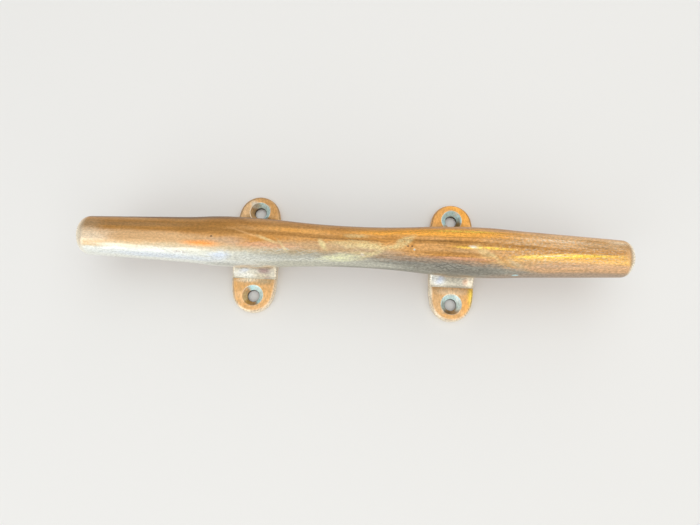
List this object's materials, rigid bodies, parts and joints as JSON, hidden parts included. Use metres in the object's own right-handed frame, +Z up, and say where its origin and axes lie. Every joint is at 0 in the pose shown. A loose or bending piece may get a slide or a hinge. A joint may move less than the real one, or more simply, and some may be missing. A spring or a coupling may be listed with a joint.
{
  "type": "boat cleat",
  "caption": "Bronze boat cleat: a round horn bar on legs whose oval feet take countersunk deck screws, for making fast mooring lines.",
  "frame": {"origin": "on the deck plane, below the middle of the bar and midway between the feet", "axes": "+X along the bar to the right-hand tip in the picture, +Y across the bar, away from the viewer, +Z up from the deck"},
  "size_m": [0.3, 0.0698, 0.0421],
  "materials": {
    "bar_bronze": "worn satin bronze with brown and grey patina",
    "leg_bronze": "rubbed satin bronze, paler in the fillets",
    "foot_bronze": "orange tan bronze, polished rims, pale blue verdigris in the countersinks"
  },
  "bodies": {
    "root": {"horn_bar": "bar_bronze", "left_leg": "leg_bronze", "right_leg": "leg_bronze", "left_foot": "foot_bronze", "right_foot": "foot_bronze"}
  },
  "joints": []
}
